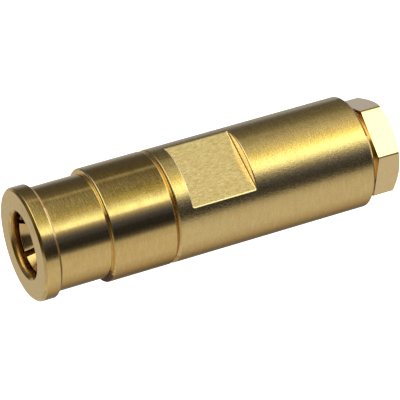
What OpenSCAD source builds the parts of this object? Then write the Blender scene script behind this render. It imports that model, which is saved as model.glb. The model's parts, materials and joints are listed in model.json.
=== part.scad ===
// Snap-fit coaxial cable plug with a clamp nut, in millimetres.
// It stands on the rear face of its nut: z = 0 is that face, and +Z runs along the axis to the mating face.

/* [Main body] */
// Diameter of the barrel, and of the shell's collar that lies flush with it
barrel_d = 9.0; // [8.4:0.1:12]
// Length of the barrel outside, from its rear face to the joint with the shell
barrel_len = 16.9; // [14:0.1:24]
// Bevel round both ends of the barrel and the rear edge of the collar
barrel_bevel = 0.2; // [0.1:0.05:0.4]
// Bore that the insulators sit in
bead_bore_d = 5.6; // [5:0.1:6.6]
// Bore of the web, which the cable's dielectric passes
web_bore_d = 3.2; // [3:0.1:4]
// Depth of the cone that the braid clamp presses the braid into
seat_cone_len = 1.0; // [0.5:0.1:1.5]

/* [Wrench flats] */
// Distance across the two flats
flat_af = 7.0; // [6.6:0.1:8.2]
// Length of each flat along the barrel
flat_len = 5.35; // [3:0.05:7]
// Distance from the joint with the shell to the start of the flats
flat_setback = 1.4; // [0.6:0.1:4]
// Radius that the cutter leaves where a flat meets its end walls
flat_fillet = 0.1; // [0.05:0.05:0.5]
// Distance from the rear end of the flats to the end of the clamp's chamber
flat_floor = 0.25; // [0.1:0.05:1]

/* [Front shell] */
// Length of the collar behind the sleeve
collar_len = 5.4; // [4.4:0.1:8]
// Diameter of the sleeve
sleeve_d = 8.2; // [7:0.1:8.6]
// Length of the sleeve between collar and grip flange
sleeve_len = 4.2; // [2:0.1:7]
// Diameter of the grip flange at the mouth
flange_d = 8.95; // [8.6:0.05:11]
// Thickness of the grip flange
flange_len = 1.45; // [1:0.05:3]
// Bevel round the front edge of the flange
flange_front_bevel = 0.2; // [0.1:0.05:0.4]
// Bevel round the back edge of the flange
flange_back_bevel = 0.2; // [0.1:0.05:0.35]
// Bevel round the front edge of the collar
collar_bevel = 0.1; // [0.05:0.05:0.35]
// Bevel round the mouth of the bore
mouth_bevel = 0.25; // [0.1:0.05:0.5]

/* [Joint of shell and body] */
// Wall of the collar round the screwed spigot
joint_wall = 0.8; // [0.6:0.05:1]
// Length of the spigot on the main body
spigot_len = 2.8; // [2:0.1:3.4]

/* [Spring contact] */
// Bore of the spring contact behind the snap ridge, which the jack's outer contact enters
contact_bore_d = 3.8; // [3.7:0.05:4.6]
// Wall of the spring fingers
finger_wall = 0.375; // [0.25:0.025:0.5]
// Radial gap between the fingers and the shell's bore
finger_gap = 0.275; // [0.2:0.025:0.5]
// Number of spring fingers
finger_count = 5; // [4:1:8]
// Width of the slots between the fingers
slot_w = 0.45; // [0.2:0.05:0.6]
// Turn of the first slot from the +X axis
slot_turn = 8.5; // [0:0.5:90]
// Depth of the slots' ends behind the mating face
slot_end_depth = 4.7; // [3.5:0.1:5.4]
// Length of the unslotted roots of the fingers
root_len = 0.4; // [0.2:0.1:0.8]
// Depth of the finger tips behind the mating face
tip_depth = 0.7; // [0.4:0.1:1.1]
// Rise of the finger tips above the fingers' outside
tip_flare = 0.075; // [0.05:0.025:0.15]
// Length of the rising stretch and the band behind the finger tips
flare_len = 1.0; // [0.6:0.1:2]
// Length of the widest band at the finger tips
tip_band_len = 0.3; // [0.1:0.05:0.5]
// Bevel on the outer edge of the finger tips
tip_bevel = 0.05; // [0.02:0.01:0.08]
// Thickness of the lip at the finger tips
tip_lip = 0.1; // [0.06:0.01:0.2]
// Height of the snap ridge inside the fingers
ridge_rise = 0.15; // [0.05:0.01:0.2]
// Depth of the snap ridge behind the mating face
ridge_depth = 1.8; // [1.5:0.1:2.4]
// Length of the ridge's land
ridge_land = 0.2; // [0.1:0.05:0.5]
// Length of the ramp behind the ridge
ridge_ramp = 0.3; // [0.1:0.05:0.6]
// Thickness of the contact's flange, held between shell and spigot
contact_flange_len = 1.0; // [0.6:0.1:1.4]

/* [Insulators] */
// Diameter of the nose that enters the jack
nose_d = 2.9; // [2.6:0.05:3.1]
// Depth of the nose's tip behind the mating face
nose_depth = 2.3; // [1.9:0.1:3]
// Bevel round the nose's tip
nose_bevel = 0.2; // [0.1:0.05:0.4]
// Distance from the fingers' roots back to the shoulder that the nose rises from
nose_setback = 0.2; // [0.1:0.05:0.6]
// Thickness of the front insulator's flange
bead_flange_len = 1.0; // [0.5:0.1:2]
// Length of the rear insulator
rear_bead_len = 3.0; // [1:0.1:5]

/* [Centre contact] */
// Outer diameter of the socket
socket_d = 1.0; // [0.9:0.02:1.2]
// Bore of the socket
socket_bore_d = 0.52; // [0.5:0.01:0.64]
// Depth of the socket's bore
socket_bore_len = 2.6; // [2:0.1:3]
// Bevel round the socket's mouth
socket_bevel = 0.1; // [0.05:0.01:0.15]
// Depth of the socket's front end below the tip of the nose
socket_recess = 0.1; // [0:0.05:0.3]
// Length of the saw cuts between the socket's tines
tine_len = 2.0; // [1:0.1:2.4]
// Width of the saw cuts
tine_gap = 0.12; // [0.08:0.01:0.16]
// Diameter of the tail
tail_d = 1.6; // [1.4:0.05:2]
// Length of the tail behind the rear insulator
tail_len = 2.2; // [1.5:0.1:4]
// Bore of the tail's solder cup
cup_bore_d = 1.0; // [0.8:0.05:1.1]
// Depth of the solder cup
cup_len = 2.0; // [1:0.1:3]
// Diameter of the sight hole at the end of the solder cup
sight_hole_d = 0.5; // [0.3:0.05:0.7]
// Diameter of the flange that both insulators hold
stop_d = 2.2; // [1.9:0.1:3]
// Thickness of that flange
stop_len = 0.6; // [0.4:0.1:1]

/* [Cable clamp] */
// Bore of the nut for the cable's jacket
cable_bore_d = 5.3; // [4.4:0.1:5.6]
// Thickness of the braid clamp's flange
clamp_flange_len = 1.0; // [0.6:0.1:2]
// Length of the gasket
gasket_len = 2.4; // [1:0.1:4]
// Depth of the V groove in both ends of the gasket
gasket_groove = 0.35; // [0.1:0.05:0.45]
// Thickness of the washer
washer_len = 0.8; // [0.4:0.1:1.5]
// Free travel left above the braid clamp
clamp_slack = 0.6; // [0.55:0.05:1.5]

/* [Clamp nut] */
// Distance across the flats of the hexagon
hex_af = 7.0; // [6.6:0.1:8.5]
// Length of the hexagon
hex_len = 2.0; // [1.5:0.1:4]
// Turn of the hexagon's first corner from the +X axis
hex_turn = 44.5; // [0:0.5:60]
// Angle of the bevel on the hexagon's rear corners
hex_bevel_angle = 30; // [20:1:40]
// Gap between the hexagon and the main body
nut_gap = 0.6; // [0.55:0.05:1.5]
// Wall of the relief between hexagon and thread
neck_wall = 0.5; // [0.3:0.05:0.7]
// Depth of the relief below the thread's crests
relief_depth = 0.33; // [0.3:0.01:0.4]
// Length of the relief
neck_len = 0.9; // [0.7:0.1:1.5]
// Bevel round the shank's end and the cable's entry
nut_bevel = 0.3; // [0.1:0.05:0.4]

/* [Clearances] */
// Radial clearance of the nut's thread in the main body
thread_gap = 0.04; // [0.02:0.01:0.08]
// Radial clearance of the fixed inner pieces in their bores
seat_gap = 0.02; // [0:0.01:0.04]
// Radial clearance of the clamp pieces in their chamber
loose_gap = 0.1; // [0.05:0.01:0.2]
// Radial clearance of the washer round the cable's jacket, beyond the nut's own
washer_gap = 0.2; // [0.1:0.05:0.3]

/* [Hidden] */
$fn = 96;
eps = 0.01;

// Levels along the axis, from the floor up
barrel_z0 = hex_len + nut_gap;
joint_z = barrel_z0 + barrel_len;
collar_z1 = joint_z + collar_len;
flange_z0 = collar_z1 + sleeve_len;
top_z = flange_z0 + flange_len;
flat_z1 = joint_z - flat_setback;
flat_z0 = flat_z1 - flat_len;

// Levels of the joint and the pieces that it holds
spigot_z1 = joint_z + spigot_len;
shoulder_z = spigot_z1 + contact_flange_len;
bead_z0 = spigot_z1 - bead_flange_len;
rear_bead_z0 = bead_z0 - rear_bead_len;
tail_z0 = rear_bead_z0 - tail_len;

// Levels inside the mouth
tip_z = top_z - tip_depth;
ridge_z = top_z - ridge_depth;
slot_z0 = top_z - slot_end_depth;
root_z = slot_z0 - root_len;
nose_z1 = top_z - nose_depth;
socket_z1 = nose_z1 - socket_recess;

// Levels of the clamp pieces, which rest on the nut's shank
chamber_z1 = flat_z0 - flat_floor;
clamp_z1 = chamber_z1 - clamp_slack;
clamp_z0 = clamp_z1 - clamp_flange_len;
gasket_z0 = clamp_z0 - gasket_len;
shank_z1 = gasket_z0 - washer_len;

// Diameters that follow from their neighbours
spigot_d = barrel_d - 2 * joint_wall;
spigot_bore_d = spigot_d + 2 * seat_gap;
finger_d = contact_bore_d + 2 * finger_wall;
tip_d = finger_d + 2 * tip_flare;
ridge_d = contact_bore_d - 2 * ridge_rise;
shell_bore_d = finger_d + 2 * finger_gap;
neck_d = cable_bore_d + 2 * neck_wall;
thread_d = neck_d + 2 * relief_depth;
chamber_d = thread_d + 2 * thread_gap;
loose_d = chamber_d - 2 * loose_gap;
washer_bore_d = cable_bore_d + 2 * washer_gap;
seat_cone_d = web_bore_d + 2 * seat_cone_len;

// A turned solid: points are [radius, height]
module turned(points) {
    rotate_extrude() polygon(points);
}

// A straight bore from z0 to z1, which cuts a little past both ends
module bore(d, z0, z1) {
    translate([0, 0, z0 - eps]) cylinder(d = d, h = z1 - z0 + 2 * eps);
}

// A bore that widens from d0 at z0 to d1 at z1
module cone_bore(d0, z0, d1, z1) {
    translate([0, 0, z0]) cylinder(d1 = d0, d2 = d1, h = z1 - z0);
}

// Shell: grip flange, sleeve and collar turned in one piece, with the bore for the spring contact
module front_shell() {
    r_flange = flange_d / 2;
    r_sleeve = sleeve_d / 2;
    r_collar = barrel_d / 2;
    color("goldenrod")
    difference() {
        turned([
            [0, joint_z], [r_collar - barrel_bevel, joint_z], [r_collar, joint_z + barrel_bevel],
            [r_collar, collar_z1 - collar_bevel], [r_collar - collar_bevel, collar_z1],
            [r_sleeve, collar_z1], [r_sleeve, flange_z0], [r_flange - flange_back_bevel, flange_z0],
            [r_flange, flange_z0 + flange_back_bevel], [r_flange, top_z - flange_front_bevel],
            [r_flange - flange_front_bevel, top_z], [0, top_z]
        ]);
        bore(spigot_bore_d, joint_z, shoulder_z - eps);
        bore(shell_bore_d, shoulder_z, top_z);
        cone_bore(shell_bore_d, top_z - mouth_bevel, shell_bore_d + 2 * mouth_bevel + 2 * eps, top_z + eps);
    }
}

// Cutter for one flat: its lower edges are rounded, which leaves a fillet at each end of the flat
module flat_cutter() {
    depth = barrel_d / 2;
    r = flat_fillet;
    // The outline is drawn as (height, distance from the axis) and swept along X
    rotate(a = 180, v = [1, 0, 1])
    translate([0, 0, -barrel_d])
    linear_extrude(height = 2 * barrel_d)
    union() {
        translate([flat_z0, flat_af / 2 + r]) square([flat_len, depth]);
        translate([flat_z0 + r, flat_af / 2]) square([flat_len - 2 * r, depth]);
        for (z = [flat_z0 + r, flat_z1 - r]) translate([z, flat_af / 2 + r]) circle(r = r);
    }
}

// Main body: barrel with two wrench flats and a screwed spigot, bored for insulators, dielectric and clamp
module main_body() {
    r = barrel_d / 2;
    color("gold")
    difference() {
        turned([
            [0, barrel_z0], [r - barrel_bevel, barrel_z0], [r, barrel_z0 + barrel_bevel],
            [r, joint_z - barrel_bevel], [r - barrel_bevel, joint_z], [spigot_d / 2, joint_z],
            [spigot_d / 2, spigot_z1], [0, spigot_z1]
        ]);
        bore(bead_bore_d, rear_bead_z0 + eps, spigot_z1);
        bore(web_bore_d, chamber_z1, rear_bead_z0);
        bore(chamber_d, barrel_z0, chamber_z1 - eps);
        cone_bore(seat_cone_d, chamber_z1 - 2 * eps, web_bore_d, chamber_z1 + seat_cone_len);
        cone_bore(chamber_d + 2 * barrel_bevel, barrel_z0 - eps, chamber_d, barrel_z0 + barrel_bevel);
        for (side = [0, 180]) rotate([0, 0, side]) flat_cutter();
    }
}

// Outer spring contact: slotted fingers with a flared mouth and a snap ridge, on a flanged base
module spring_contact() {
    r_base = shell_bore_d / 2 - seat_gap;
    r_flange = spigot_bore_d / 2 - seat_gap;
    r_bore = contact_bore_d / 2;
    r_finger = finger_d / 2;
    r_tip = tip_d / 2;
    r_ridge = ridge_d / 2;
    color("darkgoldenrod")
    difference() {
        turned([
            [r_bore, spigot_z1], [r_flange, spigot_z1], [r_flange, shoulder_z], [r_base, shoulder_z],
            [r_base, root_z], [r_finger, root_z], [r_finger, tip_z - flare_len],
            [r_tip, tip_z - tip_band_len], [r_tip, tip_z - tip_bevel], [r_tip - tip_bevel, tip_z],
            [r_tip - tip_lip, tip_z],
            [r_ridge, ridge_z], [r_ridge, ridge_z - ridge_land], [r_bore, ridge_z - ridge_land - ridge_ramp]
        ]);
        for (i = [0 : finger_count - 1])
            rotate([0, 0, slot_turn + i * 360 / finger_count])
            translate([0, -slot_w / 2, slot_z0])
            cube([shell_bore_d, slot_w, slot_end_depth]);
    }
}

// Front insulator: the nose that enters the jack, a body in the spring contact and a flange in the main body
module front_insulator() {
    r_body = contact_bore_d / 2 - seat_gap;
    r_flange = bead_bore_d / 2 - seat_gap;
    r_nose = nose_d / 2;
    nose_z0 = root_z - nose_setback;
    color("whitesmoke")
    difference() {
        turned([
            [0, bead_z0], [r_flange, bead_z0], [r_flange, spigot_z1], [r_body, spigot_z1],
            [r_body, nose_z0], [r_nose, nose_z0], [r_nose, nose_z1 - nose_bevel],
            [r_nose - nose_bevel, nose_z1], [0, nose_z1]
        ]);
        bore(socket_d + 2 * seat_gap, bead_z0, nose_z1);
    }
}

// Rear insulator: a thick disc with a recess for the centre contact's flange
module rear_insulator() {
    color("whitesmoke")
    difference() {
        translate([0, 0, rear_bead_z0]) cylinder(d = bead_bore_d - 2 * seat_gap, h = rear_bead_len);
        bore(tail_d + 2 * seat_gap, rear_bead_z0, bead_z0);
        bore(stop_d + 2 * seat_gap, bead_z0 - stop_len + eps, bead_z0);
    }
}

// Centre contact: slotted socket, holding flange and solder cup with its sight hole
module centre_contact() {
    r_socket = socket_d / 2;
    r_stop = stop_d / 2;
    cup_z1 = tail_z0 + cup_len;
    color("darkgoldenrod")
    difference() {
        turned([
            [0, tail_z0], [tail_d / 2, tail_z0], [tail_d / 2, bead_z0 - stop_len],
            [r_stop, bead_z0 - stop_len], [r_stop, bead_z0], [r_socket, bead_z0],
            [r_socket, socket_z1 - socket_bevel], [r_socket - socket_bevel, socket_z1], [0, socket_z1]
        ]);
        bore(socket_bore_d, socket_z1 - socket_bore_len + eps, socket_z1);
        for (turn = [0, 90])
            rotate([0, 0, turn])
            translate([-socket_d, -tine_gap / 2, socket_z1 - tine_len])
            cube([2 * socket_d, tine_gap, tine_len + eps]);
        bore(cup_bore_d, tail_z0, cup_z1 - eps);
        translate([0, 0, cup_z1 - sight_hole_d]) rotate([90, 0, 0]) cylinder(d = sight_hole_d, h = tail_d);
    }
}

// Braid clamp: a flanged ring with a cone that spreads the cable's braid against the seat
module braid_clamp() {
    r_cone = seat_cone_d / 2 - loose_gap;
    cone_z1 = clamp_z1 + seat_cone_len / 2;
    color("gold")
    difference() {
        turned([
            [0, clamp_z0], [loose_d / 2, clamp_z0], [loose_d / 2, clamp_z1], [r_cone, clamp_z1],
            [r_cone - seat_cone_len / 2, cone_z1], [0, cone_z1]
        ]);
        bore(web_bore_d, clamp_z0, cone_z1);
    }
}

// Gasket: a rubber ring with a V groove in each end
module gasket() {
    r0 = cable_bore_d / 2 - loose_gap;
    r1 = loose_d / 2;
    middle = (r0 + r1) / 2;
    color("firebrick")
    turned([
        [r0, gasket_z0], [middle, gasket_z0 + gasket_groove], [r1, gasket_z0],
        [r1, clamp_z0], [middle, clamp_z0 - gasket_groove], [r0, clamp_z0]
    ]);
}

// Washer that turns the nut's push into an even one on the gasket
module washer() {
    color("gold")
    difference() {
        translate([0, 0, shank_z1]) cylinder(d = loose_d, h = washer_len);
        bore(washer_bore_d, shank_z1, gasket_z0);
    }
}

// Clamp nut: bevelled hexagon, relief and threaded shank with the bore for the cable's jacket
module clamp_nut() {
    r_flat = hex_af / 2;
    r_corner = r_flat / cos(30);
    r_past = 2 * r_corner;
    rise = (r_corner - r_flat) * tan(hex_bevel_angle);
    thread_z0 = hex_len + neck_len;
    color("gold")
    difference() {
        union() {
            intersection() {
                rotate([0, 0, hex_turn]) cylinder(r = r_corner, h = hex_len, $fn = 6);
                turned([
                    [0, 0], [r_flat, 0], [r_corner, rise], [r_past, rise], [r_past, hex_len], [0, hex_len]
                ]);
            }
            turned([
                [0, hex_len - eps], [neck_d / 2, hex_len - eps], [neck_d / 2, thread_z0],
                [thread_d / 2, thread_z0 + relief_depth], [thread_d / 2, shank_z1 - nut_bevel],
                [thread_d / 2 - nut_bevel, shank_z1], [0, shank_z1]
            ]);
        }
        bore(cable_bore_d, 0, shank_z1);
        cone_bore(cable_bore_d + 2 * nut_bevel, -eps, cable_bore_d, nut_bevel);
    }
}

front_shell();
main_body();
spring_contact();
front_insulator();
rear_insulator();
centre_contact();
braid_clamp();
gasket();
washer();
clamp_nut();
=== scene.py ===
"""Looks of the snap-fit coaxial cable plug: turned gold pieces, insulators and gasket, with studio light and camera.

The pieces are modelled in millimetres, at the heights that the frame gives, and brought to metres when they are done.
The plug stands on the rear face of its nut, with its axis on +Z and the mating face at the top.
"""

import json
import math

import bpy
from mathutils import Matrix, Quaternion, Vector

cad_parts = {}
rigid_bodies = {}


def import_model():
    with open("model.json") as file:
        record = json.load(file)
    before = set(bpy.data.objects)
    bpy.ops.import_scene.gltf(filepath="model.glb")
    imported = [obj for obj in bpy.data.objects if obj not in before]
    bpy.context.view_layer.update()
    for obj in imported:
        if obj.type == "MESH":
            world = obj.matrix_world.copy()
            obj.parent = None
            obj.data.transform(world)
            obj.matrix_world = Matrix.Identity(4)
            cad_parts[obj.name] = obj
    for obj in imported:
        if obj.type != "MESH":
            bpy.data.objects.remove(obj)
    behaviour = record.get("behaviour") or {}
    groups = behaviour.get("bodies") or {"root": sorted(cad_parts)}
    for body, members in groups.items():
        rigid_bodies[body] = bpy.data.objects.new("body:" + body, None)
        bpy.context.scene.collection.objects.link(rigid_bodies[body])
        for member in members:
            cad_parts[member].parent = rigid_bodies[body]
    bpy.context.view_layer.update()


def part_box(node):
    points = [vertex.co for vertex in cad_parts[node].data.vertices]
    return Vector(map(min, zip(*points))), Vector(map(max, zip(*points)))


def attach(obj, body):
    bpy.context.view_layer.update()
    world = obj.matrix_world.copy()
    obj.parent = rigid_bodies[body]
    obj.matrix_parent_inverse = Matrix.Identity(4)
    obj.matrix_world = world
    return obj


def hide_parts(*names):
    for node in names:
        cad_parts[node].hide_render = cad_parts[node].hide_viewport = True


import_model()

MM = 0.001
MICRON = 1e-6


def heights(node):
    """Lowest and highest level of a node, in millimetres."""
    low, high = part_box(node)
    return low.z / MM, high.z / MM


# Levels along the axis, from the frame
JOINT_Z, TOP_Z = heights("front_shell")
BARREL_Z0, SPIGOT_Z1 = heights("main_body")
TIP_Z = heights("spring_contact")[1]
BEAD_Z0, NOSE_Z1 = heights("front_insulator")
REAR_BEAD_Z0 = heights("rear_insulator")[0]
TAIL_Z0, SOCKET_Z1 = heights("centre_contact")
CLAMP_Z0, CLAMP_CONE_Z1 = heights("braid_clamp")
GASKET_Z0 = heights("gasket")[0]
SHANK_Z1 = heights("washer")[0]

# Outside of shell and body: radii and lengths in millimetres
BARREL_R = 4.5
FLANGE_R = 4.475
SLEEVE_R = 4.1
SPIGOT_R = 3.7
FLANGE_LEN = 1.45
SLEEVE_LEN = 4.2
FLANGE_Z0 = TOP_Z - FLANGE_LEN
COLLAR_Z1 = FLANGE_Z0 - SLEEVE_LEN
EDGE_BEVEL = 0.2
COLLAR_BEVEL = 0.1

# Wrench flats
FLAT_Y = 3.5
FLAT_FROM_JOINT = 1.4
FLAT_LEN = 5.35
FLAT_Z1 = JOINT_Z - FLAT_FROM_JOINT
FLAT_Z0 = FLAT_Z1 - FLAT_LEN
FLAT_FILLET = 0.1
FLAT_FLOOR = 0.25

# Bores and what sits in them
SEAT_GAP = 0.02
LOOSE_GAP = 0.1
SPIGOT_BORE_R = SPIGOT_R + SEAT_GAP
CONTACT_FLANGE_LEN = 1.0
SHOULDER_Z = SPIGOT_Z1 + CONTACT_FLANGE_LEN
SHELL_BORE_R = 2.55
BEAD_R = 2.8
WEB_R = 1.6
CHAMBER_R = 3.52
CHAMBER_Z1 = FLAT_Z0 - FLAT_FLOOR
SEAT_CONE = 1.0

# Round of the shell's mouth: how far it stands back from the bore at each depth below the face
MOUTH_ROUND = [(0.25, 0), (0.08, 0.17), (0.02, 0.28), (0, 0.42)]

# Spring contact: depths are below the mating face, and the slots start at a turn in degrees
FINGER_COUNT = 5
CONTACT_BORE_R = 1.9
FINGER_R = 2.275
TIP_R = 2.35
RIDGE_R = 1.75
RIDGE_DEPTH = 1.8
RIDGE_Z = TOP_Z - RIDGE_DEPTH
SLOT_W = 0.45
SLOT_TURN = 8.5
SLOT_DEPTH = 4.7
SLOT_Z0 = TOP_Z - SLOT_DEPTH
ROOT_LEN = 0.4
ROOT_Z = SLOT_Z0 - ROOT_LEN
TIP_LEN = 1.0
TIP_LAND = 0.3
TIP_EDGE = 0.05
TIP_WALL = 0.1
RIDGE_LAND = 0.2
RIDGE_LEN = 0.5

# Insulators and centre contact: the socket's slots and bore start at its mouth
NOSE_R = 1.45
NOSE_BEVEL = 0.2
STEP_BELOW_ROOT = 0.2
SOCKET_R = 0.5
SOCKET_BEVEL = 0.1
SOCKET_BORE_R = 0.26
SOCKET_DEPTH = 2.6
SOCKET_SLOT_LEN = 2.0
SOCKET_SLOT_W = 0.12
TAIL_R = 0.8
CUP_R = 0.5
CUP_DEPTH = 2.0
SIGHT_HOLE_R = 0.25
SIGHT_HOLE_FROM_END = 0.5
STOP_R = 1.1
STOP_LEN = 0.6

# Cable clamp and nut: angles in degrees, and the round blank as a multiple of the distance to a flat
LOOSE_R = CHAMBER_R - LOOSE_GAP
CABLE_R = 2.65
WASHER_GAP = 0.2
GASKET_GROOVE = 0.35
CLAMP_FLANGE_LEN = 1.0
HEX_AF = 7.0
HEX_LEN = 2.0
HEX_TURN = 44.5
HEX_EDGE = 0.15
HEX_CONE = 30
HEX_BLANK = 1.3
NECK_R = 3.15
NECK_LEN = 0.9
THREAD_R = 3.48
THREAD_PITCH = 0.5
THREAD_DEPTH = 0.27
THREAD_FLANK = 30
OVERCUT = 0.04
NUT_BEVEL = 0.3

# Rounds on the edges, as deburring, moulding and wear leave them
BRASS_EDGE = 0.04
RUBBER_EDGE = 0.04
PLASTIC_EDGE = 0.03
FINGER_EDGE = 0.02
SOCKET_EDGE = 0.012
WASHER_EDGE = 0.05
FLAT_EDGE = 0.1

# Faces round every turned piece, and round the thread
ROUND_STEPS = 160
THREAD_STEPS = 96

# Angles in degrees: edges sharper than the first are rounded, and shading stays smooth up to the second
SHARP_ANGLE = 30
SMOOTH_ANGLE = 35

# How near counts as the same place, and how far inside its circle the middle of a flat face may lie
CLOSE = 0.001
FACET_SAG = 0.01

# Tilts, as the Z of a face's normal: bevels that face down or up, the collar's step, and the end wall of a flat
FACES_DOWN = (-0.99, -0.1)
FACES_UP = (0.1, 0.99)
STEP_UP = (0.3, 1)
WALL_UP = (0.5, 1)
# Height of the band that holds a rim's bevel
RIM = 0.3

# Sides where a painted highlight or painted shade lies: azimuth, and reach to either side of it, in degrees
FLANGE_GLINT = (-107, 19)
FLANGE_HALF_SHADE = (-48, 40)
STEP_GLINT = (-80, 32)
GROOVE_HALF_SHADE = (172, 62)
JOINT_HALF_SHADE = (146, 30)
REAR_SHADE = (-58, 50)
BORE_LIGHTER_SIDE = (150, 35)
# The way towards the side of the corner that gets painted shade
SHADE_TOWARDS = (-0.87, 0.5, 0)

# How much tool marks change round a turn, and where in that range, towards -Y, stains begin and are full
MARK_DRIFT = 6.0
STAINS_FROM = -5.3
STAINS_FULL = -5.9
# Stains: the size of their clouds in mm, the brown they turn to, and how much rougher they are
CLOUD_SIZE = 1.4
STAIN_BROWN = "#9A6E40"
STAIN_ROUGHNESS = 0.06

# The table lies just below the nut's furthest travel. It glows, so that it stays white under the plug
TABLE_Z = -4.5
TABLE_GLOW = 0.78
TABLE_GLOW_SHARE = 0.75


def linear(hex_code):
    """An sRGB hex colour as the linear RGBA that sockets take."""
    made = []
    for i in (1, 3, 5):
        c = int(hex_code[i:i + 2], 16) / 255
        made.append(c / 12.92 if c <= 0.04045 else ((c + 0.055) / 1.055) ** 2.4)
    return (*made, 1.0)


def add(tree, kind, inputs=None, stops=None, **settings):
    """Add a node: settings are its properties, inputs its values or the sockets linked to them, stops a ramp's."""
    made = tree.nodes.new(kind)
    for key, value in settings.items():
        setattr(made, key, value)
    for key, value in (inputs or {}).items():
        if isinstance(value, bpy.types.NodeSocket):
            tree.links.new(value, made.inputs[key])
        else:
            made.inputs[key].default_value = value
    for i, (place, colour) in enumerate(stops or []):
        elements = made.color_ramp.elements
        element = elements[i] if i < 2 else elements.new(place)
        element.position, element.color = place, colour
    return made


def new_material(name):
    """A material with an empty tree."""
    made = bpy.data.materials.new(name)
    made.use_nodes = True
    made.node_tree.nodes.clear()
    return made


def finish_material(material, shader):
    """Give the material its output."""
    add(material.node_tree, "ShaderNodeOutputMaterial", {"Surface": shader.outputs[0]})
    return material


def directions(tree):
    """Place on the piece, the same without its height, and the way to it from the axis."""
    place = add(tree, "ShaderNodeTexCoord").outputs["Object"]
    flat = add(tree, "ShaderNodeVectorMath", {0: place, 1: (1, 1, 0)}, operation="MULTIPLY").outputs[0]
    around = add(tree, "ShaderNodeVectorMath", {0: flat}, operation="NORMALIZE").outputs[0]
    return place, flat, around


def around_axis(tree, pitch, drift):
    """Coordinates of lathe work: the rings are a pitch apart, in mm, and drift is how much they change in a turn."""
    place, flat, around = directions(tree)
    radius = add(tree, "ShaderNodeVectorMath", {0: flat}, operation="LENGTH").outputs["Value"]
    turn = add(tree, "ShaderNodeSeparateXYZ", {0: around})
    height = add(tree, "ShaderNodeSeparateXYZ", {0: place}).outputs["Z"]
    rings = 1 / (pitch * MM)
    a = add(tree, "ShaderNodeMath", {0: radius, 1: rings}, operation="MULTIPLY").outputs[0]
    b = add(tree, "ShaderNodeMath", {0: height, 1: rings}, operation="MULTIPLY").outputs[0]
    c = add(tree, "ShaderNodeMath", {0: turn.outputs["X"], 1: drift}, operation="MULTIPLY").outputs[0]
    w = add(tree, "ShaderNodeMath", {0: turn.outputs["Y"], 1: drift}, operation="MULTIPLY").outputs[0]
    vector = add(tree, "ShaderNodeCombineXYZ", {0: a, 1: b, 2: c}).outputs[0]
    return place, vector, w


def lathe_gold(name, light, deep, roughness, spread, pitch, mark_um, grain, grain_um, stain):
    """Gold plate on turned brass: tool marks round the axis and a matt grain.

    The pitch of the marks and the size of the grain are in mm, and their heights in micrometres. Stain is how far
    the plate has gone brown and dull, in clouds on the side towards -Y.
    """
    material = new_material(name)
    tree = material.node_tree
    place, vector, w = around_axis(tree, pitch, MARK_DRIFT)
    marks = add(tree, "ShaderNodeTexNoise", {"Vector": vector, "W": w, "Scale": 1.0, "Detail": 2.0},
                noise_dimensions="4D").outputs["Fac"]
    matt = add(tree, "ShaderNodeTexNoise", {"Vector": place, "Scale": 1 / (grain * MM), "Detail": 2.0}).outputs["Fac"]
    worn = add(tree, "ShaderNodeMath", {0: marks, 1: matt}, operation="ADD").outputs[0]
    shade = add(tree, "ShaderNodeMapRange", {"Value": worn, "From Min": 0.75, "From Max": 1.25}).outputs[0]
    clean = add(tree, "ShaderNodeMix", {0: shade, 6: linear(deep), 7: linear(light)}, data_type="RGBA").outputs[2]
    clouds = add(tree, "ShaderNodeTexNoise", {"Vector": place, "Scale": 1 / (CLOUD_SIZE * MM), "Detail": 4.0,
                 "Roughness": 0.65}).outputs["Fac"]
    handled = add(tree, "ShaderNodeMapRange", {"Value": w, "From Min": STAINS_FROM, "From Max": STAINS_FULL,
                  "To Max": stain}).outputs[0]
    dull = add(tree, "ShaderNodeMapRange", {"Value": clouds, "From Min": 0.44, "From Max": 0.62,
               "To Max": handled}).outputs[0]
    tone = add(tree, "ShaderNodeMix", {0: dull, 6: clean, 7: linear(STAIN_BROWN)}, data_type="RGBA").outputs[2]
    even = add(tree, "ShaderNodeMapRange", {"Value": matt, "From Min": 0.3, "From Max": 0.7,
               "To Min": roughness - spread, "To Max": roughness + spread}).outputs[0]
    rough = add(tree, "ShaderNodeMath", {0: dull, 1: STAIN_ROUGHNESS, 2: even}, operation="MULTIPLY_ADD").outputs[0]
    rings = add(tree, "ShaderNodeBump", {"Height": marks, "Distance": mark_um * MICRON, "Strength": 1.0}).outputs[0]
    bump = add(tree, "ShaderNodeBump", {"Height": matt, "Distance": grain_um * MICRON, "Strength": 1.0,
               "Normal": rings}).outputs[0]
    gold = add(tree, "ShaderNodeBsdfPrincipled", {"Base Color": tone, "Metallic": 1.0, "Roughness": rough,
               "Normal": bump})
    return finish_material(material, gold)


def fine_turned_gold():
    """Hard gold on fine-turned brass: band edges stay crisp, with faint rings.

    The feed of the tool, some 0.05 mm, is too fine to show, so the rings are drawn 0.16 mm apart.
    """
    return lathe_gold("fine_turned_gold", "#EECA86", "#DEBC72", roughness=0.11, spread=0.02,
                      pitch=0.16, mark_um=2.6, grain=0.12, grain_um=0.6, stain=0.35)


def satin_turned_gold():
    """Gold on brass turned with a coarser feed and brushed: softer band edges and a visible grain.

    The scratches of brushing, some 0.03 mm, are too fine to show, so the grain is drawn at 0.14 mm.
    """
    return lathe_gold("satin_turned_gold", "#EFD08D", "#E3C27E", roughness=0.22, spread=0.03,
                      pitch=0.2, mark_um=0.8, grain=0.14, grain_um=6.5, stain=0.1)


def polished_gold():
    """Gold on polished hexagon bar: clear reflections, with only a trace of haze and of the bar's ripple."""
    return lathe_gold("polished_gold", "#F3D69C", "#EDCE96", roughness=0.12, spread=0.02,
                      pitch=0.3, mark_um=0.1, grain=0.25, grain_um=0.05, stain=0.03)


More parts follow.
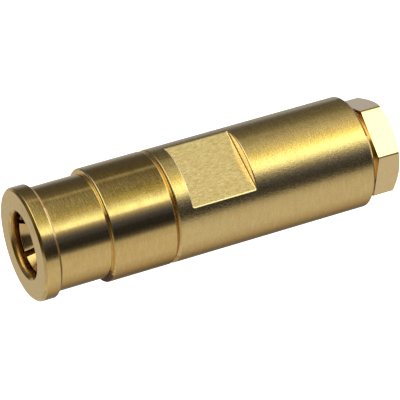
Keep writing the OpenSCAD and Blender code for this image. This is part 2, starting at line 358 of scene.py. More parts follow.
def spring_gold():
    """Thin gold on beryllium copper: a little redder, since the alloy shows through."""
    return lathe_gold("spring_gold", "#E8C484", "#DDB474", roughness=0.17, spread=0.02,
                      pitch=0.08, mark_um=0.4, grain=0.1, grain_um=0.2, stain=0.1)


def shaded_bore_gold():
    """Dull, dark brown gold: painted shade in the deep narrow bore and in other shaded places, with the reamer's
    rings.
    """
    return lathe_gold("shaded_bore_gold", "#8E6030", "#724820", roughness=0.36, spread=0.02,
                      pitch=0.2, mark_um=0.2, grain=0.3, grain_um=0.1, stain=0.0)


def glint_gold():
    """Bright, pale gold: a painted highlight on the edges and steps where glints fall."""
    return lathe_gold("glint_gold", "#F6E0B0", "#EFD49A", roughness=0.18, spread=0.02,
                      pitch=0.2, mark_um=0.2, grain=0.2, grain_um=0.2, stain=0.0)


def half_shade_gold():
    """Brownish, soft gold: painted half shade, dimmer than lit gold and lighter than the shaded bore."""
    return lathe_gold("half_shade_gold", "#DCB06A", "#C89850", roughness=0.34, spread=0.02,
                      pitch=0.2, mark_um=0.2, grain=0.2, grain_um=0.2, stain=0.0)


def shaded_corner_gold():
    """Fine-turned gold in a corner, with painted shade on one side: dark brown and matt there.

    The painted shade lies within about 30 degrees of that side, and noise of 0.3 mm frays its ends.
    """
    material = fine_turned_gold()
    material.name = "shaded_corner_gold"
    tree = material.node_tree
    gold = tree.nodes["Principled BSDF"]
    place, _, around = directions(tree)
    # Dark brown painted shade towards one side of the corner, frayed by noise
    fray = add(tree, "ShaderNodeTexNoise", {"Vector": place, "Scale": 1 / (0.3 * MM), "Detail": 4.0}).outputs["Fac"]
    facing = add(tree, "ShaderNodeVectorMath", {0: around, 1: SHADE_TOWARDS},
                 operation="DOT_PRODUCT").outputs["Value"]
    spread = add(tree, "ShaderNodeMath", {0: fray, 1: 0.3, 2: facing}, operation="MULTIPLY_ADD").outputs[0]
    painted_shade = add(tree, "ShaderNodeMapRange", {"Value": spread, "From Min": 0.98, "From Max": 1.08}).outputs[0]
    clean = gold.inputs["Base Color"].links[0].from_socket
    tone = add(tree, "ShaderNodeMix", {0: painted_shade, 6: clean, 7: linear("#54301A")}, data_type="RGBA").outputs[2]
    metal = add(tree, "ShaderNodeMapRange", {"Value": painted_shade, "To Min": 1.0, "To Max": 0.0}).outputs[0]
    rough = add(tree, "ShaderNodeMapRange", {"Value": painted_shade, "To Min": 0.11, "To Max": 0.9}).outputs[0]
    for key, socket in (("Base Color", tone), ("Metallic", metal), ("Roughness", rough)):
        tree.links.new(socket, gold.inputs[key])
    return material


def milled_gold():
    """Gold on a milled flat: matt, with short strokes that cross where the end mill's teeth came round twice.

    The step of a tooth, some 0.05 mm, is too fine to show, so the strokes are drawn 0.12 mm wide and 0.3 mm long.
    """
    material = new_material("milled_gold")
    tree = material.node_tree
    place = add(tree, "ShaderNodeTexCoord").outputs["Object"]
    strokes = []
    for lean in (15, 60, 105, 150):
        along = add(tree, "ShaderNodeMapping", {"Vector": place, "Rotation": (0, math.radians(lean), 0),
                    "Scale": (1 / (0.12 * MM), 1 / MM, 1 / (0.3 * MM))}).outputs[0]
        strokes.append(add(tree, "ShaderNodeTexNoise", {"Vector": along, "Scale": 1.0, "Detail": 2.0}).outputs["Fac"])
    crossed = strokes[0]
    for stroke in strokes[1:]:
        crossed = add(tree, "ShaderNodeMath", {0: crossed, 1: stroke}, operation="ADD").outputs[0]
    shade = add(tree, "ShaderNodeMapRange", {"Value": crossed, "From Min": 1.6, "From Max": 2.4}).outputs[0]
    tone = add(tree, "ShaderNodeMix", {0: shade, 6: linear("#DFBF80"), 7: linear("#F8E0B2")},
               data_type="RGBA").outputs[2]
    bump = add(tree, "ShaderNodeBump", {"Height": crossed, "Distance": 2.6 * MICRON, "Strength": 1.0}).outputs[0]
    gold = add(tree, "ShaderNodeBsdfPrincipled", {"Base Color": tone, "Metallic": 1.0, "Roughness": 0.27,
               "Normal": bump})
    return finish_material(material, gold)


def turned_ptfe():
    """PTFE turned from rod: waxy white that lets a little light in, with the soft rings of a 0.1 mm feed."""
    material = new_material("turned_ptfe")
    tree = material.node_tree
    _, vector, w = around_axis(tree, pitch=0.1, drift=4.0)
    marks = add(tree, "ShaderNodeTexNoise", {"Vector": vector, "W": w, "Scale": 1.0, "Detail": 1.0},
                noise_dimensions="4D").outputs["Fac"]
    tone = add(tree, "ShaderNodeMix", {0: marks, 6: linear("#E6E5DE"), 7: linear("#F3F2EC")},
               data_type="RGBA").outputs[2]
    bump = add(tree, "ShaderNodeBump", {"Height": marks, "Distance": 1.5 * MICRON, "Strength": 1.0}).outputs[0]
    wax = add(tree, "ShaderNodeBsdfPrincipled", {"Base Color": tone, "Roughness": 0.42, "IOR": 1.35,
              "Subsurface Weight": 0.15, "Subsurface Radius": (1.0, 0.95, 0.9), "Subsurface Scale": 0.3 * MM,
              "Normal": bump})
    return finish_material(material, wax)


def moulded_silicone():
    """Iron-red silicone rubber, moulded: matt, with a fine dusting, drawn at 0.15 mm so that it can show."""
    material = new_material("moulded_silicone")
    tree = material.node_tree
    place = add(tree, "ShaderNodeTexCoord").outputs["Object"]
    dust = add(tree, "ShaderNodeTexNoise", {"Vector": place, "Scale": 1 / (0.15 * MM), "Detail": 3.0}).outputs["Fac"]
    tone = add(tree, "ShaderNodeMix", {0: dust, 6: linear("#87301F"), 7: linear("#9C4030")},
               data_type="RGBA").outputs[2]
    bump = add(tree, "ShaderNodeBump", {"Height": dust, "Distance": 3 * MICRON, "Strength": 1.0}).outputs[0]
    rubber = add(tree, "ShaderNodeBsdfPrincipled", {"Base Color": tone, "Roughness": 0.6, "IOR": 1.41,
                 "Normal": bump})
    return finish_material(material, rubber)


FINE = fine_turned_gold()
SATIN = satin_turned_gold()
POLISHED = polished_gold()
SPRING = spring_gold()
SHADED_BORE = shaded_bore_gold()
PAINTED_GLINT = glint_gold()
HALF_SHADE = half_shade_gold()
SHADED_CORNER = shaded_corner_gold()
MILLED = milled_gold()
PTFE = turned_ptfe()
SILICONE = moulded_silicone()


def deselect():
    """Leave nothing selected, so that the next operator acts on its own piece alone."""
    for other in bpy.context.view_layer.objects:
        other.select_set(False)


def turned(name, outline, material, closed=True):
    """A piece turned on the Z axis from an outline of (radius, height).

    A closed outline goes round the wall of a bored piece. An open one starts and ends at a flat disc on the axis.
    """
    deselect()
    r, z = outline[0]
    bpy.ops.mesh.primitive_circle_add(vertices=ROUND_STEPS, radius=r, location=(0, 0, z))
    bpy.ops.object.transform_apply(location=True)
    piece = bpy.context.object
    piece.name = name
    bpy.ops.object.mode_set(mode="EDIT")
    bpy.ops.mesh.select_mode(type="EDGE")
    for r1, z1 in outline[1:]:
        bpy.ops.mesh.extrude_edges_move(TRANSFORM_OT_translate={"value": (0, 0, z1 - z)})
        bpy.ops.transform.resize(value=(r1 / r, r1 / r, 1), center_override=(0, 0, z1))
        r, z = r1, z1
    bpy.ops.mesh.select_all(action="DESELECT")
    bpy.ops.mesh.select_non_manifold()
    if closed:
        bpy.ops.mesh.bridge_edge_loops()
    else:
        bpy.ops.mesh.fill_holes(sides=0)
    bpy.ops.mesh.select_all(action="SELECT")
    bpy.ops.mesh.normals_make_consistent(inside=False)
    bpy.ops.object.mode_set(mode="OBJECT")
    piece.data.materials.append(material)
    return piece


def block(low, high, material, turn=0.0):
    """A cutter with straight sides between two corners, turned about the axis by an angle in degrees."""
    deselect()
    size = Vector(high) - Vector(low)
    bpy.ops.mesh.primitive_cube_add(size=1, location=(Vector(low) + Vector(high)) / 2, scale=size)
    bpy.ops.object.transform_apply(location=True, scale=True)
    cutter = bpy.context.object
    cutter.rotation_euler.z = math.radians(turn)
    bpy.ops.object.transform_apply(rotation=True)
    cutter.data.materials.append(material)
    return cutter


def apply(piece, modifier):
    """Apply a modifier to its piece."""
    bpy.context.view_layer.objects.active = piece
    bpy.ops.object.modifier_apply(modifier=modifier.name)


def carve(piece, cutter, operation="DIFFERENCE"):
    """Cut the piece with a cutter, whose finish stays on the new faces, and throw the cutter away."""
    modifier = piece.modifiers.new("carve", "BOOLEAN")
    modifier.operation = operation
    modifier.object = cutter
    modifier.solver = "EXACT"
    modifier.material_mode = "TRANSFER"
    apply(piece, modifier)
    bpy.data.objects.remove(cutter)


def break_edges(piece, width, angle=SHARP_ANGLE, clamp=True, material=None):
    """Round the edges that are sharper than the angle, as deburring and plating leave them."""
    modifier = piece.modifiers.new("break_edges", "BEVEL")
    modifier.limit_method = "ANGLE"
    modifier.angle_limit = math.radians(angle)
    modifier.width = width
    modifier.segments = 3
    modifier.miter_outer = "MITER_ARC"
    modifier.use_clamp_overlap = clamp
    if material:
        piece.data.materials.append(material)
        modifier.material = len(piece.data.materials) - 1
    apply(piece, modifier)


def line_with(piece, material, inner, outer, tilt=(-1, 1), low=0, high=100, side=(0, 180)):
    """Give the faces between two radii and two levels, of a tilt up or down within limits, their own finish.

    A side keeps it to a reach round one azimuth, both in degrees.
    """
    if material.name not in piece.data.materials:
        piece.data.materials.append(material)
    azimuth, reach = side
    facing = Vector((math.cos(math.radians(azimuth)), math.sin(math.radians(azimuth))))
    for face in piece.data.polygons:
        place = face.center.xy
        beside = place.length > 0 and math.degrees(place.angle(facing)) <= reach
        if (beside and inner < place.length < outer and tilt[0] <= face.normal.z <= tilt[1]
                and low < face.center.z < high):
            face.material_index = piece.data.materials.find(material.name)


def finish_piece(piece, node, body):
    """Smooth the shading, bring the piece to metres and let it stand for its node."""
    deselect()
    piece.select_set(True)
    bpy.context.view_layer.objects.active = piece
    bpy.ops.object.shade_smooth_by_angle(angle=math.radians(SMOOTH_ANGLE), keep_sharp_edges=False)
    weighted = piece.modifiers.new("weighted", "WEIGHTED_NORMAL")
    weighted.keep_sharp = True
    apply(piece, weighted)
    piece.scale = (MM, MM, MM)
    bpy.ops.object.transform_apply(scale=True)
    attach(piece, body)
    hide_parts(node)


def front_shell():
    """Grip flange, sleeve and collar, turned in one piece."""
    piece = turned("shell", [
        (SPIGOT_BORE_R, JOINT_Z), (BARREL_R - EDGE_BEVEL, JOINT_Z), (BARREL_R, JOINT_Z + EDGE_BEVEL),
        (BARREL_R, COLLAR_Z1 - COLLAR_BEVEL), (BARREL_R - COLLAR_BEVEL, COLLAR_Z1), (SLEEVE_R, COLLAR_Z1),
        (SLEEVE_R, FLANGE_Z0), (FLANGE_R - EDGE_BEVEL, FLANGE_Z0), (FLANGE_R, FLANGE_Z0 + EDGE_BEVEL),
        (FLANGE_R, TOP_Z - EDGE_BEVEL), (FLANGE_R - EDGE_BEVEL, TOP_Z),
        *[(SHELL_BORE_R + back, TOP_Z - depth) for back, depth in MOUTH_ROUND],
        (SHELL_BORE_R, SHOULDER_Z), (SPIGOT_BORE_R, SHOULDER_Z),
    ], FINE)
    step = (COLLAR_Z1 - 2 * COLLAR_BEVEL, COLLAR_Z1 + COLLAR_BEVEL)
    mouth_r = SHELL_BORE_R + 0.15
    mouth_z0 = TOP_Z - 0.45
    break_edges(piece, BRASS_EDGE)
    # Painted shade in the bore, and painted half shade round the mouth and on the bore's lighter side
    line_with(piece, SHADED_BORE, 0, SHELL_BORE_R + CLOSE)
    line_with(piece, HALF_SHADE, 0, mouth_r, low=mouth_z0)
    line_with(piece, HALF_SHADE, 0, mouth_r, side=BORE_LIGHTER_SIDE)
    # Painted highlight on one side of the flange's lower bevels, painted half shade on another side
    line_with(piece, PAINTED_GLINT, SLEEVE_R, BARREL_R, FACES_DOWN, COLLAR_Z1, TOP_Z, FLANGE_GLINT)
    line_with(piece, HALF_SHADE, SLEEVE_R, BARREL_R, FACES_DOWN, COLLAR_Z1, TOP_Z, FLANGE_HALF_SHADE)
    # Painted half shade on one side of the shell's rim at the joint
    line_with(piece, HALF_SHADE, BARREL_R - RIM, BARREL_R, FACES_DOWN, JOINT_Z, JOINT_Z + RIM, GROOVE_HALF_SHADE)
    # Painted shade on one side of the collar's step, and a painted highlight on another side
    line_with(piece, SHADED_CORNER, SLEEVE_R, BARREL_R, STEP_UP, *step)
    line_with(piece, PAINTED_GLINT, SLEEVE_R, BARREL_R, STEP_UP, *step, STEP_GLINT)
    finish_piece(piece, "front_shell", "housing")


def flat_cutter():
    """End mill's path for one wrench flat, with the round that its corners leave."""
    past_r = BARREL_R + 1
    cutter = block((-past_r, -past_r, FLAT_Z0), (past_r, -FLAT_Y, FLAT_Z1), MILLED)
    bpy.ops.object.mode_set(mode="EDIT")
    bpy.ops.mesh.select_mode(type="EDGE")
    bpy.ops.mesh.select_all(action="DESELECT")
    bpy.ops.object.mode_set(mode="OBJECT")
    mesh = cutter.data
    for edge in mesh.edges:
        a, b = (mesh.vertices[i].co for i in edge.vertices)
        edge.select = abs(a.y + FLAT_Y) < CLOSE and abs(b.y + FLAT_Y) < CLOSE and abs(a.z - b.z) < CLOSE
    bpy.ops.object.mode_set(mode="EDIT")
    bpy.ops.mesh.bevel(offset=FLAT_FILLET, segments=8, affect="EDGES")
    bpy.ops.object.mode_set(mode="OBJECT")
    return cutter


def main_body():
    """Barrel with two wrench flats and the spigot that screws into the shell."""
    piece = turned("barrel", [
        (CHAMBER_R + EDGE_BEVEL, BARREL_Z0), (BARREL_R - EDGE_BEVEL, BARREL_Z0),
        (BARREL_R, BARREL_Z0 + EDGE_BEVEL), (BARREL_R, JOINT_Z - EDGE_BEVEL), (BARREL_R - EDGE_BEVEL, JOINT_Z),
        (SPIGOT_R, JOINT_Z), (SPIGOT_R, SPIGOT_Z1), (BEAD_R, SPIGOT_Z1), (BEAD_R, REAR_BEAD_Z0),
        (WEB_R, REAR_BEAD_Z0), (WEB_R, CHAMBER_Z1 + SEAT_CONE), (WEB_R + SEAT_CONE, CHAMBER_Z1),
        (CHAMBER_R, CHAMBER_Z1), (CHAMBER_R, BARREL_Z0 + EDGE_BEVEL),
    ], SATIN)
    break_edges(piece, BRASS_EDGE)
    for half_turn in (0, 180):
        cutter = flat_cutter()
        cutter.rotation_euler.z = math.radians(half_turn)
        carve(piece, cutter)
    # The flats' rounded edges and their end walls get a painted highlight
    break_edges(piece, FLAT_EDGE, SMOOTH_ANGLE, clamp=False, material=PAINTED_GLINT)
    line_with(piece, PAINTED_GLINT, FLAT_Y, BARREL_R, WALL_UP, FLAT_Z0 - 2 * FLAT_EDGE, FLAT_Z0 + 2 * FLAT_EDGE)
    line_with(piece, SATIN, 0, BARREL_R, high=FLAT_Z0 - RIM)
    # Painted shade on one side of the rear rim, next to the nut
    line_with(piece, SHADED_BORE, BARREL_R - RIM, BARREL_R, FACES_DOWN, BARREL_Z0, BARREL_Z0 + RIM, REAR_SHADE)
    line_with(piece, SATIN, 0, BARREL_R, low=FLAT_Z1 + RIM)
    # Painted half shade on one side of the barrel's rim at the joint
    line_with(piece, HALF_SHADE, BARREL_R - RIM, BARREL_R, FACES_UP, JOINT_Z - RIM, JOINT_Z, JOINT_HALF_SHADE)
    finish_piece(piece, "main_body", "housing")


def spring_contact():
    """Ring of slotted fingers with a flared mouth and a snap ridge."""
    base_r = SHELL_BORE_R - SEAT_GAP
    piece = turned("spring_fingers", [
        (CONTACT_BORE_R, SPIGOT_Z1), (SPIGOT_R, SPIGOT_Z1), (SPIGOT_R, SHOULDER_Z), (base_r, SHOULDER_Z),
        (base_r, ROOT_Z), (FINGER_R, ROOT_Z), (FINGER_R, TIP_Z - TIP_LEN), (TIP_R, TIP_Z - TIP_LAND),
        (TIP_R, TIP_Z - TIP_EDGE), (TIP_R - TIP_EDGE, TIP_Z), (TIP_R - TIP_WALL, TIP_Z), (RIDGE_R, RIDGE_Z),
        (RIDGE_R, RIDGE_Z - RIDGE_LAND), (CONTACT_BORE_R, RIDGE_Z - RIDGE_LEN),
    ], SPRING)
    for i in range(FINGER_COUNT):
        turn = SLOT_TURN + i * 360 / FINGER_COUNT
        carve(piece, block((0, -SLOT_W / 2, SLOT_Z0), (SHELL_BORE_R * 2, SLOT_W / 2, TOP_Z), SPRING, turn))
    break_edges(piece, FINGER_EDGE)
    # Painted shade on the fingers' outsides within the bore, with painted half shade on its lighter side
    line_with(piece, SHADED_BORE, FINGER_R - FACET_SAG, SHELL_BORE_R)
    line_with(piece, HALF_SHADE, FINGER_R - FACET_SAG, SHELL_BORE_R, side=BORE_LIGHTER_SIDE)
    finish_piece(piece, "spring_contact", "housing")


def front_insulator():
    """The nose that enters the jack, on a body and a flange."""
    step_z = ROOT_Z - STEP_BELOW_ROOT
    piece = turned("nose_bead", [
        (SOCKET_R + SEAT_GAP, BEAD_Z0), (BEAD_R - SEAT_GAP, BEAD_Z0), (BEAD_R - SEAT_GAP, SPIGOT_Z1),
        (CONTACT_BORE_R - SEAT_GAP, SPIGOT_Z1), (CONTACT_BORE_R - SEAT_GAP, step_z), (NOSE_R, step_z),
        (NOSE_R, NOSE_Z1 - NOSE_BEVEL), (NOSE_R - NOSE_BEVEL, NOSE_Z1), (SOCKET_R + SEAT_GAP, NOSE_Z1),
    ], PTFE)
    break_edges(piece, PLASTIC_EDGE)
    finish_piece(piece, "front_insulator", "housing")


def rear_insulator():
    """Thick disc that traps the centre contact's flange."""
    piece = turned("rear_bead", [
        (TAIL_R + SEAT_GAP, REAR_BEAD_Z0), (BEAD_R - SEAT_GAP, REAR_BEAD_Z0), (BEAD_R - SEAT_GAP, BEAD_Z0),
        (STOP_R + SEAT_GAP, BEAD_Z0), (STOP_R + SEAT_GAP, BEAD_Z0 - STOP_LEN),
        (TAIL_R + SEAT_GAP, BEAD_Z0 - STOP_LEN),
    ], PTFE)
    break_edges(piece, PLASTIC_EDGE)
    finish_piece(piece, "rear_insulator", "housing")


def centre_contact():
    """Slotted socket with a holding flange and a solder cup."""
    cup_z1 = TAIL_Z0 + CUP_DEPTH
    piece = turned("centre_socket", [
        (CUP_R, cup_z1), (CUP_R, TAIL_Z0), (TAIL_R, TAIL_Z0), (TAIL_R, BEAD_Z0 - STOP_LEN),
        (STOP_R, BEAD_Z0 - STOP_LEN), (STOP_R, BEAD_Z0), (SOCKET_R, BEAD_Z0), (SOCKET_R, SOCKET_Z1 - SOCKET_BEVEL),
        (SOCKET_R - SOCKET_BEVEL, SOCKET_Z1), (SOCKET_BORE_R, SOCKET_Z1), (SOCKET_BORE_R, SOCKET_Z1 - SOCKET_DEPTH),
    ], SPRING, closed=False)
    for turn in (0, 90):
        low = (-1, -SOCKET_SLOT_W / 2, SOCKET_Z1 - SOCKET_SLOT_LEN)
        carve(piece, block(low, (1, SOCKET_SLOT_W / 2, SOCKET_Z1 + 1), SPRING, turn))
    bpy.ops.mesh.primitive_cylinder_add(vertices=48, radius=SIGHT_HOLE_R, depth=1, rotation=(math.pi / 2, 0, 0),
                                        location=(0, -0.6, cup_z1 - SIGHT_HOLE_FROM_END))
    bpy.ops.object.transform_apply()
    carve(piece, bpy.context.object)
    break_edges(piece, SOCKET_EDGE)
    finish_piece(piece, "centre_contact", "housing")


def braid_clamp():
    """Flanged ring whose cone spreads the braid."""
    cone_r = WEB_R + SEAT_CONE - LOOSE_GAP
    clamp_z1 = CLAMP_Z0 + CLAMP_FLANGE_LEN
    piece = turned("clamp_ring", [
        (WEB_R, CLAMP_Z0), (LOOSE_R, CLAMP_Z0), (LOOSE_R, clamp_z1), (cone_r, clamp_z1),
        (cone_r - (CLAMP_CONE_Z1 - clamp_z1), CLAMP_CONE_Z1), (WEB_R, CLAMP_CONE_Z1),
    ], FINE)
    break_edges(piece, BRASS_EDGE)
    finish_piece(piece, "braid_clamp", "clamp_stack")


def gasket():
    """Rubber ring with a V groove in each end."""
    inner = CABLE_R - LOOSE_GAP
    middle = (inner + LOOSE_R) / 2
    piece = turned("cable_gasket", [
        (inner, GASKET_Z0), (middle, GASKET_Z0 + GASKET_GROOVE), (LOOSE_R, GASKET_Z0),
        (LOOSE_R, CLAMP_Z0), (middle, CLAMP_Z0 - GASKET_GROOVE), (inner, CLAMP_Z0),
    ], SILICONE)
    break_edges(piece, RUBBER_EDGE)
    finish_piece(piece, "gasket", "clamp_stack")


def washer():
    """Flat washer between nut and gasket."""
    bore_r = CABLE_R + WASHER_GAP
    piece = turned("clamp_washer", [
        (bore_r, SHANK_Z1), (LOOSE_R, SHANK_Z1), (LOOSE_R, GASKET_Z0), (bore_r, GASKET_Z0),
    ], FINE)
    break_edges(piece, WASHER_EDGE)
    finish_piece(piece, "washer", "clamp_stack")


def thread_cutter():
    """Path of the threading tool: a groove with 60 degree flanks and a flat root, wound up the shank."""
    root_r = THREAD_R - THREAD_DEPTH
    outer_r = THREAD_R + OVERCUT
    root_half = THREAD_PITCH / 8
    outer_half = root_half + (outer_r - root_r) * math.tan(math.radians(THREAD_FLANK))
    start = HEX_LEN + NECK_LEN
    turns = math.ceil((SHANK_Z1 - start) / THREAD_PITCH) + 1
    deselect()
    bpy.ops.mesh.primitive_plane_add(size=1)
    cutter = bpy.context.object
    corners = ((root_r, -root_half), (outer_r, -outer_half), (root_r, root_half), (outer_r, outer_half))
    for vertex, (r, z) in zip(cutter.data.vertices, corners):
        vertex.co = (r, 0, start + z)
    bpy.ops.object.mode_set(mode="EDIT")
    bpy.ops.mesh.delete(type="ONLY_FACE")
    bpy.ops.object.mode_set(mode="OBJECT")
    screw = cutter.modifiers.new("wind", "SCREW")
    screw.axis = "Z"
    screw.angle = math.radians(360)
    screw.screw_offset = THREAD_PITCH
    screw.iterations = turns
    screw.steps = screw.render_steps = THREAD_STEPS
    apply(cutter, screw)
    bpy.ops.object.mode_set(mode="EDIT")
    bpy.ops.mesh.select_all(action="SELECT")
    bpy.ops.mesh.fill_holes(sides=4)
    bpy.ops.mesh.normals_make_consistent(inside=False)
    bpy.ops.object.mode_set(mode="OBJECT")
    cutter.data.materials.append(POLISHED)
    return cutter


def clamp_nut():
    """Nut turned from polished hexagon bar, with a relief and a threaded shank."""
    flat_r = HEX_AF / 2
    past_r = flat_r * HEX_BLANK
    past_z = (past_r - flat_r) * math.tan(math.radians(HEX_CONE))
    thread_z0 = HEX_LEN + NECK_LEN
    piece = turned("nut", [
        (CABLE_R + NUT_BEVEL, 0), (flat_r, 0), (past_r, past_z), (past_r, HEX_LEN), (NECK_R, HEX_LEN),
        (NECK_R, thread_z0), (THREAD_R, thread_z0 + THREAD_R - NECK_R), (THREAD_R, SHANK_Z1 - NUT_BEVEL),
        (THREAD_R - NUT_BEVEL, SHANK_Z1), (CABLE_R, SHANK_Z1), (CABLE_R, NUT_BEVEL),
    ], POLISHED)
    deselect()
    bpy.ops.mesh.primitive_cylinder_add(vertices=6, radius=flat_r / math.cos(math.pi / 6), depth=2 * SHANK_Z1 + 2,
                                        rotation=(0, 0, math.radians(HEX_TURN - 90)))
    bpy.ops.object.transform_apply()
    bar = bpy.context.object
    bar.data.materials.append(POLISHED)
    break_edges(bar, HEX_EDGE)
    carve(piece, bar, "INTERSECT")
    carve(piece, thread_cutter())
    finish_piece(piece, "clamp_nut", "nut")


# What the gold mirrors: azimuths in degrees round the plug, and how bright the studio is there.
# Straight below the plug: the pale table, and the plug's own shadow on it
UNDER_STUDIO = [(-180, 0.20), (-125, 0.20), (-110, 1.5), (-60, 1.5), (-10, 1.2), (52, 1.2), (62, 0.20), (180, 0.20)]
# Steeply below eye level: pale ground, a dark flag, a wide soft box that fades to one side, and a dim corner
GROUND_STUDIO = [
    (-180, 0.60), (-166, 0.50), (-158, 0.10), (-150, 0.05), (-138, 0.08), (-128, 0.19), (-119, 0.30), (-111, 0.55),
    (-105, 0.75), (-98, 3.0), (-87, 3.2), (-80, 2.1), (-70, 1.32), (-58, 0.96), (-46, 0.65), (-34, 0.37), (-22, 0.21),
    (-8, 0.15), (6, 0.13), (16, 0.13), (22, 0.22), (26, 0.64), (31, 0.64), (36, 0.40), (50, 0.42), (66, 0.30),
    (82, 0.19), (98, 0.18), (110, 0.38), (122, 0.50), (146, 0.60), (180, 0.60),
]
# A little below eye level the soft box is a narrow one, with a thin strip lamp beside it
LOW_STUDIO = [
    (-180, 0.60), (-166, 0.51), (-158, 0.10), (-150, 0.035), (-138, 0.045), (-128, 0.16), (-119, 0.28), (-113, 0.70),
    (-109, 2.0), (-103, 2.0), (-97, 1.2), (-86, 0.46), (-72, 0.19), (-57, 0.148), (-44, 0.11), (-38, 0.11),
    (-35, 0.30), (-31, 0.30), (-27, 0.09), (2, 0.09), (15, 0.125), (27, 0.34), (39, 0.50), (50, 0.45), (66, 0.28),
    (82, 0.15), (98, 0.15), (110, 0.30), (122, 0.46), (146, 0.62), (180, 0.62),
]
# Above eye level a second soft box
MID_STUDIO = [
    (-180, 0.60), (-166, 0.55), (-158, 0.15), (-150, 0.06), (-130, 0.10), (-106, 0.15), (-96, 1.6), (-50, 1.6),
    (-38, 1.1), (-26, 0.70), (-12, 0.20), (4, 0.09), (16, 0.08), (26, 0.20), (34, 0.45), (50, 0.55), (80, 0.56),
    (100, 0.50), (124, 0.56), (150, 0.66), (180, 0.62),
]
# Higher up a small bright lamp
LAMP_STUDIO = [
    (-180, 0.55), (-166, 0.40), (-158, 0.06), (-150, 0.02), (-112, 0.03), (-98, 0.06), (-86, 2.4), (-52, 2.4),
    (-40, 0.60), (-12, 0.16), (14, 0.08), (32, 0.40), (50, 0.60), (150, 0.66), (180, 0.55),
]
# High overhead
HIGH_STUDIO = [
    (-180, 0.34), (-160, 0.09), (-114, 0.05), (-60, 0.10), (-28, 0.20), (-8, 0.09), (14, 0.06), (30, 0.30),
    (50, 0.55), (110, 0.55), (150, 0.52), (180, 0.42),
]
# Heights of a direction, as its Z, between which each set gives way to the next
STUDIO_STEPS = [(-0.75, -0.55), (-0.394, -0.366), (-0.335, -0.165), (0.46, 0.50), (0.58, 0.66)]
# Tint below eye level: blue behind the flag, lemon beside the soft box, then a cool dim corner and a warm one
LOW_TINT = [
    (-180, "#FFFFFF"), (-160, "#FFFFFF"), (-148, "#C0CCFF"), (-128, "#AAB8FF"), (-119, "#F4F6FF"), (-100, "#F2FFE4"),
    (-92, "#F0FFE8"), (-84, "#FFFCB8"), (-70, "#FFFCC0"), (-54, "#FFFCEC"), (-30, "#FFFFEE"), (-18, "#FCF8D8"),
    (-8, "#F8F8EC"), (4, "#F0F4FF"), (30, "#E4ECFF"), (60, "#F6F8FF"), (82, "#FFF2E0"), (98, "#FFEDCC"),
    (114, "#FFEDD0"), (126, "#FFF4E4"), (140, "#FFFFFF"), (180, "#FFFFFF"),
]
# Tint above it: the soft box and the lamp are a pale lime
HIGH_TINT = [
    (-180, "#FFFFFF"), (-108, "#FFFFFF"), (-96, "#F6FFEA"), (-50, "#F6FFEA"), (-30, "#FFFFF4"), (180, "#FFFFFF"),
]
# Tint high overhead: amber
OVERHEAD_TINT = [(-180, "#FFFFFF"), (-130, "#FFE6A0"), (-24, "#FFE9A4"), (0, "#FFFFFF"), (180, "#FFFFFF")]
# Tint straight below: cool
UNDER_TINT = [
    (-180, "#FFFFFF"), (-120, "#FFFFFF"), (-104, "#E6ECFF"), (-10, "#E6ECFF"), (60, "#EEF2FF"), (180, "#FFFFFF"),
]


def around_plug(tree, share, levels, tints):
    """Light of one set of the studio, by the share of a turn that a direction has made."""
    stops = [((degrees + 180) / 360, (level, level, level, 1)) for degrees, level in levels]
    level = add(tree, "ShaderNodeValToRGB", {0: share}, stops=stops).outputs["Color"]
    stops = [((degrees + 180) / 360, linear(colour)) for degrees, colour in tints]
    tint = add(tree, "ShaderNodeValToRGB", {0: share}, stops=stops).outputs["Color"]
    return add(tree, "ShaderNodeMix", {0: 1.0, 6: level, 7: tint}, data_type="RGBA", blend_type="MULTIPLY").outputs[2]


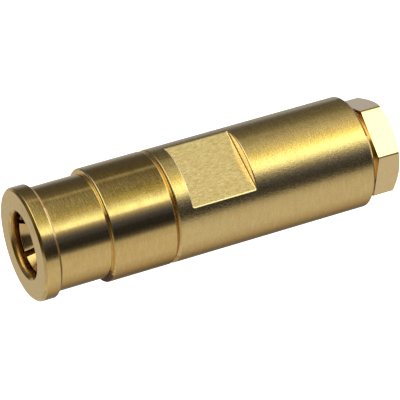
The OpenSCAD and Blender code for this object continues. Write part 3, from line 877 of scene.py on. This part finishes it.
def studio_light():
    """Studio of soft boxes and dark gaps, seen in the gold; the background is white and other light is even."""
    world = bpy.data.worlds.new("studio")
    bpy.context.scene.world = world
    world.use_nodes = True
    world.cycles.sampling_method = "NONE"
    tree = world.node_tree
    tree.nodes.clear()
    way = add(tree, "ShaderNodeSeparateXYZ", {0: add(tree, "ShaderNodeTexCoord").outputs["Generated"]})
    azimuth = add(tree, "ShaderNodeMath", {0: way.outputs["Y"], 1: way.outputs["X"]}, operation="ARCTAN2").outputs[0]
    share = add(tree, "ShaderNodeMapRange", {"Value": azimuth, "From Min": -math.pi, "From Max": math.pi}).outputs[0]
    seen = around_plug(tree, share, UNDER_STUDIO, UNDER_TINT)
    above = [(GROUND_STUDIO, LOW_TINT), (LOW_STUDIO, LOW_TINT), (MID_STUDIO, HIGH_TINT), (LAMP_STUDIO, HIGH_TINT),
             (HIGH_STUDIO, OVERHEAD_TINT)]
    for (levels, tints), (low, high) in zip(above, STUDIO_STEPS):
        rise = add(tree, "ShaderNodeMapRange", {"Value": way.outputs["Z"], "From Min": low, "From Max": high},
                   interpolation_type="SMOOTHSTEP").outputs[0]
        ring = around_plug(tree, share, levels, tints)
        seen = add(tree, "ShaderNodeMix", {0: rise, 6: seen, 7: ring}, data_type="RGBA").outputs[2]
    path = add(tree, "ShaderNodeLightPath")
    colour = add(tree, "ShaderNodeMix", {0: path.outputs["Is Glossy Ray"], 6: (1, 1, 1, 1), 7: seen},
                 data_type="RGBA").outputs[2]
    light = add(tree, "ShaderNodeBackground", {"Color": colour, "Strength": 1.0})
    add(tree, "ShaderNodeOutputWorld", {"Surface": light.outputs[0]})


def floor():
    """White table that keeps a faint shadow. The gold doesn't mirror it."""
    deselect()
    bpy.ops.mesh.primitive_plane_add(size=2.0, location=(0, 0, TABLE_Z * MM))
    table = bpy.context.object
    table.name = "table"
    table.visible_glossy = False
    material = new_material("white_table")
    tree = material.node_tree
    lit = add(tree, "ShaderNodeBsdfDiffuse", {"Color": linear("#FFFFFF")})
    glow = add(tree, "ShaderNodeEmission", {"Color": (1, 1, 1, 1), "Strength": TABLE_GLOW})
    weak = add(tree, "ShaderNodeMixShader", {0: TABLE_GLOW_SHARE, 1: lit.outputs[0], 2: glow.outputs[0]})
    both = add(tree, "ShaderNodeAddShader", {0: weak.outputs[0], 1: glow.outputs[0]})
    finish_material(material, both)
    table.data.materials.append(material)


def camera():
    """Camera of the photograph: it looks at the standing plug from one side, rolled so that the plug lies down."""
    place = Vector((-94.92, -179.343, 90.811)) * MM
    aim = Vector((-0.299, 0.35, 15.737)) * MM
    roll = math.radians(106.14)
    data = bpy.data.cameras.new("camera")
    data.sensor_width = 36
    data.lens = 251.784
    data.clip_start = 0.01
    made = bpy.data.objects.new("camera", data)
    made.location = place
    made.rotation_mode = "QUATERNION"
    made.rotation_quaternion = (aim - place).to_track_quat("-Z", "Y") @ Quaternion((0, 0, 1), -roll)
    bpy.context.scene.collection.objects.link(made)
    bpy.context.scene.camera = made


camera()
studio_light()
floor()
front_shell()
main_body()
spring_contact()
front_insulator()
rear_insulator()
centre_contact()
braid_clamp()
gasket()
washer()
clamp_nut()

bpy.context.scene.view_settings.view_transform = "Standard"
